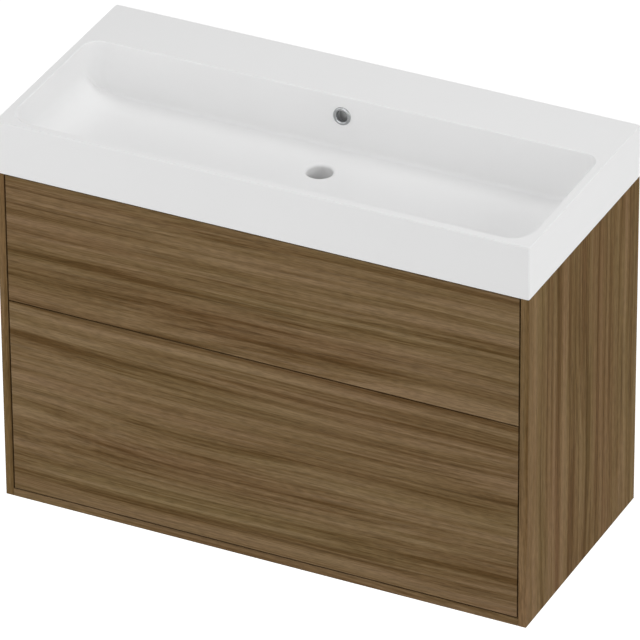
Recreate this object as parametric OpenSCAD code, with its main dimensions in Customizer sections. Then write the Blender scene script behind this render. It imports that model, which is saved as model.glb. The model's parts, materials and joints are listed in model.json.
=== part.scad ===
// Wall-hung vanity unit: a full-width basin on a cabinet with two push-to-open drawers.
// X runs to the right, Y to the wall and Z up. The wall is the plane Y = 0, and the
// origin is the middle of the four wall fixing holes.

/* [Cabinet] */
// Width of the cabinet and of the basin
cab_w = 1000; // [800:10:1200]
// Depth from the wall to the drawer fronts
depth = 456; // [446:1:500]
// Height of the cabinet under the basin
cab_h = 650; // [620:5:720]
// Thickness of the cabinet's boards and of the drawer fronts
board = 15; // [15:0.5:19]
// Height of the cabinet's top edge above the wall fixings
fix_drop = 45; // [42:1:60]
// Distance from the wall to the back rails
rail_inset = 30; // [20:1:34]
// Height of the two back rails
rail_h = 125; // [115:1:140]
// Height of the front tie rail
tie_h = 40; // [30:1:46]

/* [Drawer fronts] */
// Gap round the drawer fronts
front_gap = 2.5; // [2:0.5:4]
// Gap between the upper front and the basin
top_gap = 1.5; // [1:0.5:3]
// Height of the upper front
upper_h = 248; // [240:1:270]
// Travel of a front that is pushed in to release its latch
push_in = 2.5; // [1:0.5:4]

/* [Basin] */
// Height of the basin's apron
basin_h = 101; // [95:1:115]
// Width of the flat rim at the front and sides
rim = 12.5; // [12:0.5:18]
// Depth of the flat ledge at the back
ledge = 125; // [118:1:135]
// Depth of the bowl where its floor starts
bowl_d = 98; // [90:1:106]
// Fall of the bowl's floor from its edge to the drain
bowl_fall = 1; // [0.5:0.5:3]
// Slope of the bowl's walls, as inset over depth
bowl_draft = 0.08; // [0.04:0.01:0.12]
// Radius of the rim's inner edge
edge_r = 3; // [2:0.5:5]
// Corner radius of the bowl at the front
front_r = 46; // [44:1:60]
// Corner radius of the bowl at the back
back_r = 31; // [28:1:40]
// Corner radius of the bowl's floor at the front
front_foot_r = 30; // [24:1:40]
// Corner radius of the bowl's floor at the back
back_foot_r = 18; // [14:1:26]
// Radius of the cove below the front wall, and height of the sweeps at the bowl's ends
cove_r = 40; // [34:1:46]
// Length of the sweeps from the bowl's ends to its floor
cove_run = 72; // [60:1:84]
// Radius of the cove below the back wall
cove_back_r = 20; // [14:1:26]
// Thickness of the ceramic
clay = 11; // [9:0.5:12]
// Corner radius of the basin's outside
outer_r = 3; // [2:0.5:6]

/* [Drain and overflow] */
// Radius of the drain hole
drain_r = 23; // [20:0.5:25]
// Distance of the drain from the wall
drain_y = 220; // [205:1:240]
// Radius of the rounded lip of the drain
lip_r = 5.5; // [4:0.5:8]
// Radius of the boss that the waste clamps to
boss_r = 38; // [36:1:44]
// Length of the drain's straight bore
bore_l = 38; // [34:1:44]
// Depth of the overflow below the rim
over_z = 37; // [32:1:42]
// Radius of the overflow hole
over_r = 12; // [11:0.5:14]
// Outer radius of the chrome ring
ring_r = 16.5; // [15:0.5:19]
// Radius of the chrome ring's bore
ring_bore = 10.3; // [9:0.1:10.5]
// Thickness of the ring's collar
ring_t = 3; // [2:0.5:4]
// Width of the overflow duct
duct_w = 26; // [24:1:30]
// Depth of the overflow duct
duct_d = 12; // [9:1:14]

/* [Drawer boxes] */
// Distance from the wall to the drawers' backs
box_back = 91; // [84:1:98]
// Gap between the cabinet's side and a drawer's side
box_gap = 6; // [5:0.5:9]
// Thickness of the drawers' sides and backs
box_t = 15; // [12:0.5:18]
// Thickness of the drawers' bottoms
floor_t = 8; // [5:0.5:12]
// Height of the upper drawer's sides
upper_side_h = 150; // [130:1:158]
// Height of the lower drawer's sides
lower_side_h = 230; // [180:1:280]
// Inside width of the cut-out round the siphon
cut_w = 220; // [180:5:280]
// Length of the cut-out round the siphon
cut_l = 210; // [190:5:230]
// Thickness of the walls round the cut-out
cut_t = 10; // [8:0.5:15]

/* [Runners] */
// Thickness of the runners' steel
sheet = 1.5; // [1.2:0.1:1.8]
// Running clearance inside the runners
play = 0.4; // [0.3:0.05:0.6]
// Distance from the cabinet's side to the runners' middle
run_mid = 34; // [33:0.5:38]
// Width of the running heads
head_w = 14; // [12:0.5:16]
// Height of the stems below the running heads
stem_h = 6; // [5:0.5:7]
// Height of the runner's base above the lower edge of its front
run_z = 4; // [3:0.5:6]
// Height of the runner's fixing flange
flange_h = 30; // [26:1:34]
// Length of the plastic clips at the front
clip_l = 30; // [24:1:36]

/* [Hangers] */
// Width of a wall plate
plate_w = 56; // [50:1:64]
// Thickness of a wall plate
plate_t = 3; // [2.5:0.5:4]
// Distance from the cabinet's side to the fixing holes
hole_u = 40; // [34:1:44]
// Distance between the two holes of a plate
hole_gap = 28; // [24:1:32]
// Radius of the fixing holes
hole_r = 3.5; // [3:0.25:4]
// Thickness of the hook
hook_t = 5; // [4:0.5:6]
// Length of the hanger's housing
housing_l = 50; // [44:1:60]
// Height of the hanger's housing
housing_h = 46; // [40:1:50]

/* [Push latches] */
// Diameter of the plunger
pin_d = 8; // [6:0.5:10]
// Width of the latch housing
latch_w = 14; // [13:0.5:18]
// Height of the latch housing
latch_h = 20; // [16:0.5:24]
// Distance of the latches from the cabinet's middle
latch_x = 300; // [240:5:320]

/* [Fittings] */
// Radius of the cam locks
cam_r = 7.5; // [6:0.5:7.5]
// Thickness of the cam locks
cam_t = 11; // [9:0.5:12]
// Distance of the cam locks from the side panels
cam_x = 24; // [20:1:30]
// Radius of the cam bolts
bolt_r = 3; // [2.5:0.25:3.25]
// Radius of the runner screws
screw_r = 2.2; // [1.8:0.1:2.4]

/* [Hidden] */
$fn = 48;

wood = "#6F583C";
wood_edge = "#7A6244";
lining = "#C9C6C0";
steel = "#B8BBBD";
zinc = "#A7AAAD";
ceramic = "#F2F2F0";
chrome = "#D5D8DA";
grey_plastic = "#8C8F92";
pale_plastic = "#E4E4E2";

// Clearance of a piece in a hole that it doesn't touch
fit = 0.3;
// Amount by which a cut passes through a face
over = 1;

// Main planes
cab_top = fix_drop;
cab_bot = cab_top - cab_h;
rim_z = cab_top + basin_h;
in_x = cab_w/2 - board;
front_y = -depth;
box_front_y = front_y + board;
box_back_y = -box_back;
floor_top = cab_bot + board;

// Heights of the fronts and of what stands on the runners
upper_front_z = cab_top - top_gap - upper_h;
lower_front_z = floor_top + front_gap;
lower_h = upper_front_z - front_gap - lower_front_z;
function run_base(front_z) = front_z + run_z;
// Lower and upper face of a clasp, above the runner's base, when its head's stem starts at z
function clasp_low(z) = z + stem_h - play - sheet;
function clasp_top(z) = z + stem_h + sheet + play + sheet;
carriage_top = clasp_top(sheet);
rider_low = clasp_low(carriage_top);
rider_top = clasp_top(carriage_top);
function floor_z(front_z) = run_base(front_z) + rider_top + fit;
// Depth of the drawers' sides below the underside of their bottoms
side_drop = 9;
function side_z(front_z) = floor_z(front_z) - side_drop;

// Bowl
bowl_low = bowl_d + bowl_fall;
bore_top = bowl_low + lip_r;
bore_low = bore_top + bore_l;
under = bowl_low + clay;

// Front tie rail, clear of the basin and of the upper front when it is pushed in
tie_gap = 2;
tie_y = box_front_y + push_in + over;
tie_top = min(rim_z - under, cab_top) - tie_gap;

// Back rails
rail_drop = 5;
top_rail_top = cab_top - rail_drop;
top_rail_z = top_rail_top - rail_h;
rail_y = -rail_inset - board;
upper_side_top = side_z(upper_front_z) + upper_side_h;
upper_latch_z = (top_rail_z + upper_side_top)/2;
lower_latch_z = floor_top + rail_h/2;

// Places a left or right piece, drawn for the right side with u measured inwards
module on_side(s) {
    if (s > 0) translate([in_x, 0, 0]) mirror([1, 0, 0]) children();
    else translate([-in_x, 0, 0]) children();
}

module box(x0, y0, z0, x1, y1, z1) {
    translate([x0, y0, z0]) cube([x1 - x0, y1 - y0, z1 - z0]);
}

// Cylinder along X, Y or Z from a point
module rod_x(p, r, l) { translate(p) rotate([0, 90, 0]) cylinder(r = r, h = l); }
module rod_y(p, r, l) { translate(p) rotate([-90, 0, 0]) cylinder(r = r, h = l); }
module rod_z(p, r, l) { translate(p) cylinder(r = r, h = l); }

// BASIN
// The bowl is a loft of rings. Each ring is a rounded rectangle with a quarter circle at
// each corner, counter-clockwise from the right at the back. Its ends, front and back are
// drawn in by insets of their own, and the depth blends towards the back's.
arc_n = 8;
bowl_x = cab_w/2 - rim;
bowl_y0 = front_y + rim;
bowl_y1 = -ledge;
function smooth(t) = let (c = min(max(t, 0), 1)) c*c*(3 - 2*c);
function mix(p, q, t) = p + (q - p)*t;
function corner(cx, cy, r, a0, side_d, back_d) =
    [for (k = [0 : arc_n]) let (a = a0 + 90*k/arc_n)
        [cx + r*cos(a), cy + r*sin(a), -mix(side_d, back_d, smooth(sin(a)))]];
// The corners tighten from the rim, t = 0, to the floor, t = 1, and g is added to them
function ring(end_in, front_in, back_in, side_d, back_d, t, g) =
    let (x = bowl_x - end_in, y0 = bowl_y0 + front_in, y1 = bowl_y1 - back_in,
         rf = mix(front_r, front_foot_r, t) + g, rb = mix(back_r, back_foot_r, t) + g)
    concat(
        corner(x - rb, y1 - rb, rb, 0, side_d, back_d),
        corner(-x + rb, y1 - rb, rb, 90, side_d, back_d),
        corner(-x + rf, y0 + rf, rf, 180, side_d, back_d),
        corner(x - rf, y0 + rf, rf, 270, side_d, back_d));
ring_n = 4*(arc_n + 1);

function wall_inset(d) = edge_r + bowl_draft*(d - edge_r);
// Inset and depth at angle a of a cove with height c and length run, g outside the surface
function cove_in(c, run, a, g) = wall_inset(bowl_d - c) + run - (run + g)*cos(a);
function cove_deep(c, a, g) = bowl_d - c + (c + g)*sin(a);
function cove_ring(a, g) = ring(
    cove_in(cove_r, cove_run, a, g), cove_in(cove_r, cove_r, a, g),
    cove_in(cove_back_r, cove_back_r, a, g),
    cove_deep(cove_r, a, g), cove_deep(cove_back_r, a, g), 1 - cos(a), g);
function drain_ring(r, d) =
    [for (i = [0 : ring_n - 1]) let (a = 360*(i + 0.5)/ring_n - 45/arc_n)
        [r*cos(a), -drain_y + r*sin(a), -d]];
function floor_ring(g, r, t) =
    let (p = cove_ring(90, g), q = drain_ring(r, bowl_low + g))
    [for (i = [0 : ring_n - 1]) mix(p[i], q[i], t)];

mouth_r = drain_r + over;
bowl_rings = concat(
    [ring(0, 0, 0, -over, -over, 0, 0)],
    [for (a = [0 : 30 : 90]) let (s = edge_r*sin(a), d = edge_r*(1 - cos(a)))
        ring(s, s, s, d, d, 0, 0)],
    [for (a = [0 : 15 : 90]) cove_ring(a, 0)],
    [floor_ring(0, mouth_r + lip_r, 0.5)],
    [for (a = [0 : 30 : 90])
        drain_ring(mouth_r + lip_r*(1 - sin(a)), bowl_low + lip_r*(1 - cos(a)))]);

// The underside ends in a flat that reaches past the boss
flat_r = boss_r + over;
under_rings = concat(
    [for (a = [0 : 18 : 90]) cove_ring(a, clay)],
    [floor_ring(clay, flat_r, 0.5), floor_ring(clay, flat_r, 1)]);

// Closed solid through rings that go downwards, with a flat face at each end
module loft(rings) {
    n = len(rings[0]);
    m = len(rings);
    polyhedron(
        points = [for (r = rings) for (p = r) p],
        faces = concat(
            [[for (i = [n - 1 : -1 : 0]) i]],
            [for (k = [0 : m - 2]) for (i = [0 : n - 1]) for (h = [0, 1])
                let (j = (i + 1) % n, a = k*n + i, b = k*n + j, c = a + n, d = b + n)
                h == 0 ? [a, b, c] : [b, d, c]],
            [[for (i = [0 : n - 1]) (m - 1)*n + i]]));
}

module rounded_plate(w, l, h, r) {
    linear_extrude(height = h) {
        translate([-w/2 + r, -l]) square([w - 2*r, l]);
        translate([-w/2, -l + r]) square([w, l - r]);
        for (s = [-1, 1]) translate([s*(w/2 - r), -l + r]) circle(r = r);
    }
}

// Overflow: the hole leans with the back wall, and the duct runs down and to the drain
over_lean = atan(bowl_draft);
over_face_y = -ledge - wall_inset(over_z);
// Wall between the ledge and the duct, and walls round the duct
duct_gap = 4;
duct_wall = 7;
duct_y0 = -ledge + duct_gap;
duct_y1 = duct_y0 + duct_d;
duct_x = duct_w/2;
// Depth of the overflow hole's end in front of the duct's back
over_end = 3;
// Channel from the foot of the duct to the drain, low in the bore
channel_floor = 5;
channel_h = 7;
channel_low = bore_low - channel_floor;
channel_top = channel_low - channel_h;

module at_overflow() {
    translate([0, over_face_y, -over_z]) rotate([-over_lean, 0, 0]) children();
}

module basin() {
    color(ceramic) translate([0, 0, rim_z]) difference() {
        union() {
            translate([0, 0, -basin_h]) rounded_plate(cab_w, depth, basin_h, outer_r);
            loft(under_rings);
            rod_z([0, -drain_y, -bore_low], boss_r, bore_l);
            box(-duct_x - duct_wall, -drain_y, -bore_low + over,
                duct_x + duct_wall, duct_y1 + duct_wall, -basin_h + over);
        }
        loft(bowl_rings);
        rod_z([0, -drain_y, -bore_low - over], drain_r, bore_l + 2*over);
        // Hollow under the back ledge, round the overflow duct
        difference() {
            box(-cab_w/2 + rim, -ledge + clay, -basin_h - over,
                cab_w/2 - rim, -clay, -clay);
            box(-duct_x - duct_wall, -ledge, -basin_h - 2*over,
                duct_x + duct_wall, duct_y1 + duct_wall, 0);
        }
        at_overflow() rod_y([0, -over, 0], over_r, duct_y1 - over_end - over_face_y);
        box(-duct_x, duct_y0, -channel_low, duct_x, duct_y1, -over_z + over_r);
        box(-duct_x, -drain_y, -channel_low, duct_x, duct_y1, -channel_top);
    }
}

module overflow_ring() {
    sleeve_r = over_r - fit;
    sleeve_l = 8;
    bead = 1;
    color(chrome) translate([0, 0, rim_z]) at_overflow() rotate([-90, 0, 0]) rotate_extrude() {
        translate([ring_bore, 0]) square([sleeve_r - ring_bore, sleeve_l]);
        translate([ring_bore, bead - ring_t]) square([ring_r - ring_bore - bead, ring_t - bead]);
        translate([ring_r - bead, -bead]) square(bead);
        translate([(ring_r + ring_bore)/2, bead - ring_t]) circle(r = bead);
    }
}

// CABINET
// The back rails are cut away at their upper ends for the hangers and wall plates.
// Metal of a wall plate above and below its holes
plate_above = 12;
plate_below = 14;
plate_top = hole_gap/2 + plate_above;
plate_low = -hole_gap/2 - plate_below;
// Distance of a wall plate from the cabinet's side, and clearance round it
plate_u = 4;
plate_gap = 4;
rail_end_top = plate_low - plate_gap;

// A cam joint at height z and depth y holds a board's end to a side panel. Its cam lock
// is let into one face of the board: down for a level board, back for an upright one.
cam_front = 70;
cam_back = 60;
cam_edge = 25;
// Wood left between a cam lock and the board's end
cam_wood = 3;
cam_margin = cam_r + cam_wood;
cam_joints = [
    for (y = [front_y + cam_front, -rail_inset - cam_back]) ["level", y, cab_bot + board/2],
    for (z = [top_rail_z + cam_margin, rail_end_top - cam_margin])
        ["upright", rail_y + board/2, z],
    for (z = [floor_top + cam_edge, floor_top + rail_h - cam_edge])
        ["upright", rail_y + board/2, z],
    ["upright", tie_y + board/2, tie_top - tie_h/2]
];
bolt_in_panel = 10;
// Play round a cam lock, and round a screw in its panel
cam_play = 0.2;

module cam_bodies(play_r, play_t) {
    for (j = cam_joints) for (s = [-1, 1]) translate([s*(in_x - cam_x), j[1], j[2]])
        if (j[0] == "level")
            translate([0, 0, -board/2 - play_t]) cylinder(r = cam_r + play_r, h = cam_t + play_t);
        else
            rod_y([0, board/2 - cam_t, 0], cam_r + play_r, cam_t + play_t);
}

module bolt_bodies(r, extra) {
    for (j = cam_joints) for (s = [-1, 1]) on_side(s)
        rod_x([-bolt_in_panel - extra, j[1], j[2]], r, bolt_in_panel + cam_x + extra - cam_r - fit);
}

// Holes for the cam locks and for bolts that reach them
module cam_holes() {
    cam_bodies(cam_play, over);
    for (j = cam_joints) for (s = [-1, 1]) on_side(s)
        rod_x([-over, j[1], j[2]], bolt_r + fit, cam_x + over);
}

module side_panel(s) {
    color(wood) difference() {
        on_side(s) box(-board, front_y, cab_bot, 0, 0, cab_top);
        bolt_bodies(bolt_r + fit, fit);
        on_side(s) screw_bodies(screw_r + cam_play, fit);
    }
}

module left_side_panel() { side_panel(-1); }
module right_side_panel() { side_panel(1); }

module bottom_panel() {
    color(wood) difference() {
        box(-in_x, front_y, cab_bot, in_x, -rail_inset, floor_top);
        cam_holes();
    }
}

module top_back_rail() {
    color(wood) difference() {
        box(-in_x, rail_y, top_rail_z, in_x, rail_y + board, top_rail_top);
        for (s = [-1, 1]) on_side(s)
            box(-over, rail_y - over, rail_end_top,
                plate_u + plate_w + plate_gap, rail_y + board + over, cab_top);
        cam_holes();
    }
}

module bottom_back_rail() {
    color(wood) difference() {
        box(-in_x, rail_y, floor_top, in_x, rail_y + board, floor_top + rail_h);
        cam_holes();
    }
}

module front_rail() {
    color(wood) difference() {
        box(-in_x, tie_y, tie_top - tie_h, in_x, tie_y + board, tie_top);
        cam_holes();
    }
}

// Each cam lock has a cross slot for the screwdriver
module cam_locks() {
    slot = 0.75;
    slot_l = 5;
    slot_d = 2;
    color(zinc) difference() {
        cam_bodies(0, 0);
        for (j = cam_joints) for (s = [-1, 1]) translate([s*(in_x - cam_x), j[1], j[2]])
            if (j[0] == "level")
                for (a = [0, 90]) rotate([0, 0, a])
                    box(-slot_l, -slot, -board/2 - over, slot_l, slot, -board/2 + slot_d);
            else
                for (a = [0, 90]) rotate([0, a, 0])
                    box(-slot_l, board/2 - slot_d, -slot, slot_l, board/2 + over, slot);
    }
}

module cam_bolts() {
    color(steel) bolt_bodies(bolt_r, 0);
}

// HANGERS
// A wall plate has a lip that stands off the wall, and the hanger's hook drops behind it.
// Width of the lip and its height above the plate
lip_w = 28;
lip_rise = 8;
lip_top = plate_top + lip_rise;
lip_y = -plate_t - (hook_t + 2*fit);

module wall_plates() {
    color(zinc) for (s = [-1, 1]) on_side(s) difference() {
        union() {
            box(plate_u, -plate_t, plate_low, plate_u + plate_w, 0, plate_top);
            box(plate_u, lip_y - plate_t, plate_top - plate_t, plate_u + lip_w, 0, plate_top);
            box(plate_u, lip_y - plate_t, plate_top - plate_t, plate_u + lip_w, lip_y, lip_top);
        }
        for (z = [-1, 1]) rod_y([hole_u, -plate_t - over, z*hole_gap/2], hole_r, plate_t + 2*over);
    }
}

// Housing on the side panel, open to the back and above for the hook
housing_gap = 4;
housing_drop = 2;
housing_wall = 3;
housing_y1 = rail_y - housing_gap;
housing_y0 = housing_y1 - housing_l;
housing_z1 = cab_top - housing_drop;
housing_z0 = housing_z1 - housing_h;
housing_w = hook_t + 2*fit + 2*housing_wall;

// Adjusting screws, one above the other
adjust_r = hook_t/2;
adjust_edge = 12;
adjust_heights = [housing_z0 + adjust_edge, housing_z1 - adjust_edge];

module hanger_housings() {
    color(steel) for (s = [-1, 1]) on_side(s) difference() {
        box(0, housing_y0, housing_z0, housing_w, housing_y1, housing_z1);
        box(housing_wall, housing_y0 + housing_wall, housing_z0 + housing_wall,
            housing_w - housing_wall, housing_y1 + over, housing_z1 + over);
        for (z = adjust_heights)
            rod_y([housing_w/2, housing_y0 - over, z], adjust_r + fit, housing_wall + 2*over);
    }
}

// Hook: a plate in the housing with an arm over the lip and a tooth behind it
hook_travel = 8;
hook_y0 = housing_y0 + housing_wall + hook_travel;
hook_end = 6;
hook_low = housing_z0 + housing_wall + fit;
arm_low = lip_top + fit;
arm_drop = 1.5;
arm_top = cab_top - arm_drop;

module hanger_hooks() {
    tip = 1;
    crown = 2;
    tooth_y1 = -plate_t - fit;
    tooth_y0 = lip_y + fit;
    tooth_low = arm_low - lip_rise;
    color(zinc) for (s = [-1, 1]) on_side(s)
        translate([housing_wall + fit, 0, 0]) rotate([90, 0, 90]) linear_extrude(height = hook_t)
            polygon([
                [hook_y0, hook_low], [housing_y1 - hook_end, hook_low],
                [housing_y1 - hook_end, arm_low], [tooth_y0, arm_low],
                [tooth_y0, tooth_low + tip], [tooth_y0 + tip, tooth_low],
                [tooth_y1 - tip, tooth_low], [tooth_y1, tooth_low + tip],
                [tooth_y1, arm_top - crown], [tooth_y1 - crown, arm_top],
                [hook_y0, arm_top]
            ]);
}

module hanger_screws() {
    head_r = 4.5;
    head_t = 3;
    slot = 0.6;
    head_y = housing_y0 - fit - head_t;
    color(zinc) for (s = [-1, 1]) on_side(s) for (z = adjust_heights) difference() {
        union() {
            rod_y([housing_w/2, head_y, z], head_r, head_t);
            rod_y([housing_w/2, head_y, z], adjust_r, hook_y0 - fit - head_y);
        }
        box(housing_w/2 - head_r, head_y - over, z - slot,
            housing_w/2 + head_r, head_y + head_t/3, z + slot);
    }
}

// RUNNERS
// A runner is three nested steel sections: a fixed section with a flange on the cabinet's
// side and a foot under the drawer's side, a carriage that clasps the fixed running head,
// and a drawer section that clasps the carriage's running head.
runner_back = 11;
clip_gap = 2;
carriage_front = 3;
carriage_back = 9;
fixed_y0 = box_front_y + runner_back;
fixed_y1 = box_back_y + runner_back;
rider_y0 = box_front_y + clip_l + clip_gap;
rider_y1 = box_back_y;
carriage_y0 = rider_y0 + carriage_front;
carriage_y1 = box_back_y - carriage_back;
clasp_w = head_w + 2*play + 2*sheet;

// Running head on a stem that stands on a sheet whose top is at z above the runner's base
module head(z) {
    translate([run_mid - sheet/2, z - sheet]) square([sheet, stem_h + 2*sheet]);
    translate([run_mid - head_w/2, z + stem_h]) square([head_w, sheet]);
}

// Clasp round a head whose stem starts at z
module clasp(z) {
    slot_w = sheet + 2*play;
    difference() {
        translate([run_mid - clasp_w/2, clasp_low(z)]) square([clasp_w, clasp_top(z) - clasp_low(z)]);
        translate([run_mid - clasp_w/2 + sheet, clasp_low(z) + sheet])
            square([clasp_w - 2*sheet, clasp_top(z) - clasp_low(z) - 2*sheet]);
        translate([run_mid - slot_w/2, clasp_low(z) - over]) square([slot_w, sheet + 2*over]);
    }
}

module section(y0, y1) {
    translate([0, y1, 0]) rotate([90, 0, 0]) linear_extrude(height = y1 - y0) children();
}

module fixed_runner(s, z0) {
    color(steel) on_side(s) translate([0, 0, z0]) difference() {
        section(fixed_y0, fixed_y1) {
            square([sheet, flange_h]);
            square([run_mid + head_w/2, sheet]);
            head(sheet);
        }
        for (y = screw_places) rod_x([-over, y, screw_up], screw_r + fit, sheet + 2*over);
    }
}

module carriage(s, z0) {
    color(zinc) on_side(s) translate([0, 0, z0]) section(carriage_y0, carriage_y1) {
        clasp(sheet);
        head(carriage_top);
    }
}

// The drawer section has a lip that the drawer's side stands against
module drawer_runner(s, z0) {
    lip = 4;
    color(steel) on_side(s) translate([0, 0, z0]) section(rider_y0, rider_y1) {
        clasp(carriage_top);
        translate([run_mid - clasp_w/2, rider_top - sheet]) square([clasp_w + lip, sheet]);
    }
}

module upper_fixed_runner_left() { fixed_runner(-1, run_base(upper_front_z)); }
module upper_fixed_runner_right() { fixed_runner(1, run_base(upper_front_z)); }
module lower_fixed_runner_left() { fixed_runner(-1, run_base(lower_front_z)); }
module lower_fixed_runner_right() { fixed_runner(1, run_base(lower_front_z)); }
module upper_carriage_left() { carriage(-1, run_base(upper_front_z)); }
module upper_carriage_right() { carriage(1, run_base(upper_front_z)); }
module lower_carriage_left() { carriage(-1, run_base(lower_front_z)); }
module lower_carriage_right() { carriage(1, run_base(lower_front_z)); }
module upper_drawer_runner_left() { drawer_runner(-1, run_base(upper_front_z)); }
module upper_drawer_runner_right() { drawer_runner(1, run_base(upper_front_z)); }
module lower_drawer_runner_left() { drawer_runner(-1, run_base(lower_front_z)); }
module lower_drawer_runner_right() { drawer_runner(1, run_base(lower_front_z)); }

screw_inset = 25;
screw_edge = 6;
screw_l = 10;
screw_places = [fixed_y0 + screw_inset, (fixed_y0 + fixed_y1)/2, fixed_y1 - screw_inset];
screw_up = flange_h - screw_edge;

module screw_bodies(r, extra) {
    for (z = [upper_front_z, lower_front_z]) for (y = screw_places)
        rod_x([-screw_l - extra, y, run_base(z) + screw_up], r, screw_l + sheet + extra);
}

module runner_screws() {
    head_rim = 2;
    head_r = screw_r + head_rim;
    head_t = 1.4;
    color(zinc) for (s = [-1, 1]) on_side(s) {
        screw_bodies(screw_r, 0);
        for (z = [upper_front_z, lower_front_z]) for (y = screw_places)
            rod_x([sheet, y, run_base(z) + screw_up], head_r, head_t);
    }
}

// PUSH LATCHES
// A housing on the back rail guides a sprung plunger that pushes the drawer's back.
// At rest the plunger's tip stands clear of the drawer by the travel of a push.
pin_gap = 0.1;
pin_head_rim = 1.5;
pin_head_r = pin_d/2 + pin_head_rim;
pin_head_t = 3.5;
pin_tip_y = box_back_y + push_in + pin_gap;
pin_end_gap = 3;
pin_stop_gap = 0.9;
latch_y0 = pin_tip_y + pin_head_t + pin_stop_gap;
latch_y1 = rail_y;
latch_end_t = 2;
latch_flange = 9;
latch_flange_w = latch_w + 2*latch_flange;
latch_flange_t = 3;

module latch_housings(z) {
    color(grey_plastic) for (x = [-latch_x, latch_x]) translate([x, 0, z]) difference() {
        union() {
            box(-latch_w/2, latch_y0, -latch_h/2, latch_w/2, latch_y1, latch_h/2);
            box(-latch_flange_w/2, latch_y1 - latch_flange_t, -latch_h/2,
                latch_flange_w/2, latch_y1, latch_h/2);
        }
        rod_y([0, latch_y0 - over, 0], pin_d/2 + fit, latch_y1 - latch_y0 - latch_end_t + over);
    }
}

module latch_plungers(z) {
    color(pale_plastic) for (x = [-latch_x, latch_x]) translate([x, 0, z]) {
        rod_y([0, pin_tip_y, 0], pin_head_r, pin_head_t);
        rod_y([0, pin_tip_y, 0], pin_d/2, latch_y1 - pin_end_gap - pin_tip_y);
    }
}

module upper_latch_housings() { latch_housings(upper_latch_z); }
module lower_latch_housings() { latch_housings(lower_latch_z); }
module upper_latch_plungers() { latch_plungers(upper_latch_z); }
module lower_latch_plungers() { latch_plungers(lower_latch_z); }

// DRAWERS
front_x = in_x - front_gap;
box_x = in_x - box_gap;
lining_x = box_x - box_t;

module drawer_front(z, h) {
    color(wood_edge) box(-front_x, front_y, z, front_x, box_front_y, z + h);
}

module drawer_side(s, front_z, h) {
    color(lining) on_side(s)
        box(box_gap, box_front_y, side_z(front_z), box_gap + box_t, box_back_y, side_z(front_z) + h);
}

module upper_front() { drawer_front(upper_front_z, upper_h); }
module lower_front() { drawer_front(lower_front_z, lower_h); }
module upper_side_left() { drawer_side(-1, upper_front_z, upper_side_h); }
module upper_side_right() { drawer_side(1, upper_front_z, upper_side_h); }
module lower_side_left() { drawer_side(-1, lower_front_z, lower_side_h); }
module lower_side_right() { drawer_side(1, lower_front_z, lower_side_h); }

cut_y = box_back_y - cut_l;
cut_x = cut_w/2;
upper_floor = floor_z(upper_front_z);
lower_floor = floor_z(lower_front_z);
lower_side_top = side_z(lower_front_z) + lower_side_h;

module upper_bottom() {
    color(lining) difference() {
        box(-lining_x, box_front_y, upper_floor, lining_x, box_back_y, upper_floor + floor_t);
        box(-cut_x, cut_y, upper_floor - over, cut_x, box_back_y + over, upper_floor + floor_t + over);
    }
}

module upper_backs() {
    color(lining) for (s = [-1, 1]) on_side(s)
        box(box_gap + box_t, box_back_y - box_t, upper_floor + floor_t,
            in_x - cut_x - cut_t, box_back_y, upper_side_top);
}

module upper_cutout_walls() {
    z0 = upper_floor + floor_t;
    color(lining) difference() {
        box(-cut_x - cut_t, cut_y - cut_t, z0, cut_x + cut_t, box_back_y, upper_side_top);
        box(-cut_x, cut_y, z0 - over, cut_x, box_back_y + over, upper_side_top + over);
    }
}

module lower_bottom() {
    color(lining)
        box(-lining_x, box_front_y, lower_floor, lining_x, box_back_y, lower_floor + floor_t);
}

module lower_back() {
    color(lining)
        box(-lining_x, box_back_y - box_t, lower_floor + floor_t, lining_x, box_back_y, lower_side_top);
}

// Plastic clip under the drawer's front edge, in front of the drawer section
module runner_clips(front_z) {
    lug = 8;
    wall = 6;
    roof = 3;
    color(grey_plastic) for (s = [-1, 1]) on_side(s) translate([0, 0, run_base(front_z)])
        difference() {
            box(run_mid - clasp_w/2, box_front_y, carriage_top + fit,
                run_mid + clasp_w/2 + lug, rider_y0 - fit, rider_top);
            box(run_mid - clasp_w/2 + wall, box_front_y + wall, rider_low - over,
                run_mid + clasp_w/2 - wall, rider_y0 - fit - wall, rider_top - roof);
        }
}

// Steel angle that holds the front to a drawer side
module front_brackets(front_z, h) {
    leg = 22;
    leg_t = 2;
    bracket_h = 40;
    hole_in = 13;
    hole_edge = 10;
    z0 = side_z(front_z) + h/2 - bracket_h/2;
    color(zinc) for (s = [-1, 1]) on_side(s) translate([box_gap + box_t, box_front_y, z0]) {
        difference() {
            union() {
                cube([leg, leg_t, bracket_h]);
                cube([leg_t, leg, bracket_h]);
            }
            for (z = [hole_edge, bracket_h - hole_edge]) {
                rod_y([hole_in, -over, z], screw_r, leg_t + 2*over);
                rod_x([-over, hole_in, z], screw_r, leg_t + 2*over);
            }
        }
    }
}

module upper_runner_clips() { runner_clips(upper_front_z); }
module lower_runner_clips() { runner_clips(lower_front_z); }
module upper_front_brackets() { front_brackets(upper_front_z, upper_side_h); }
module lower_front_brackets() { front_brackets(lower_front_z, lower_side_h); }

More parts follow.
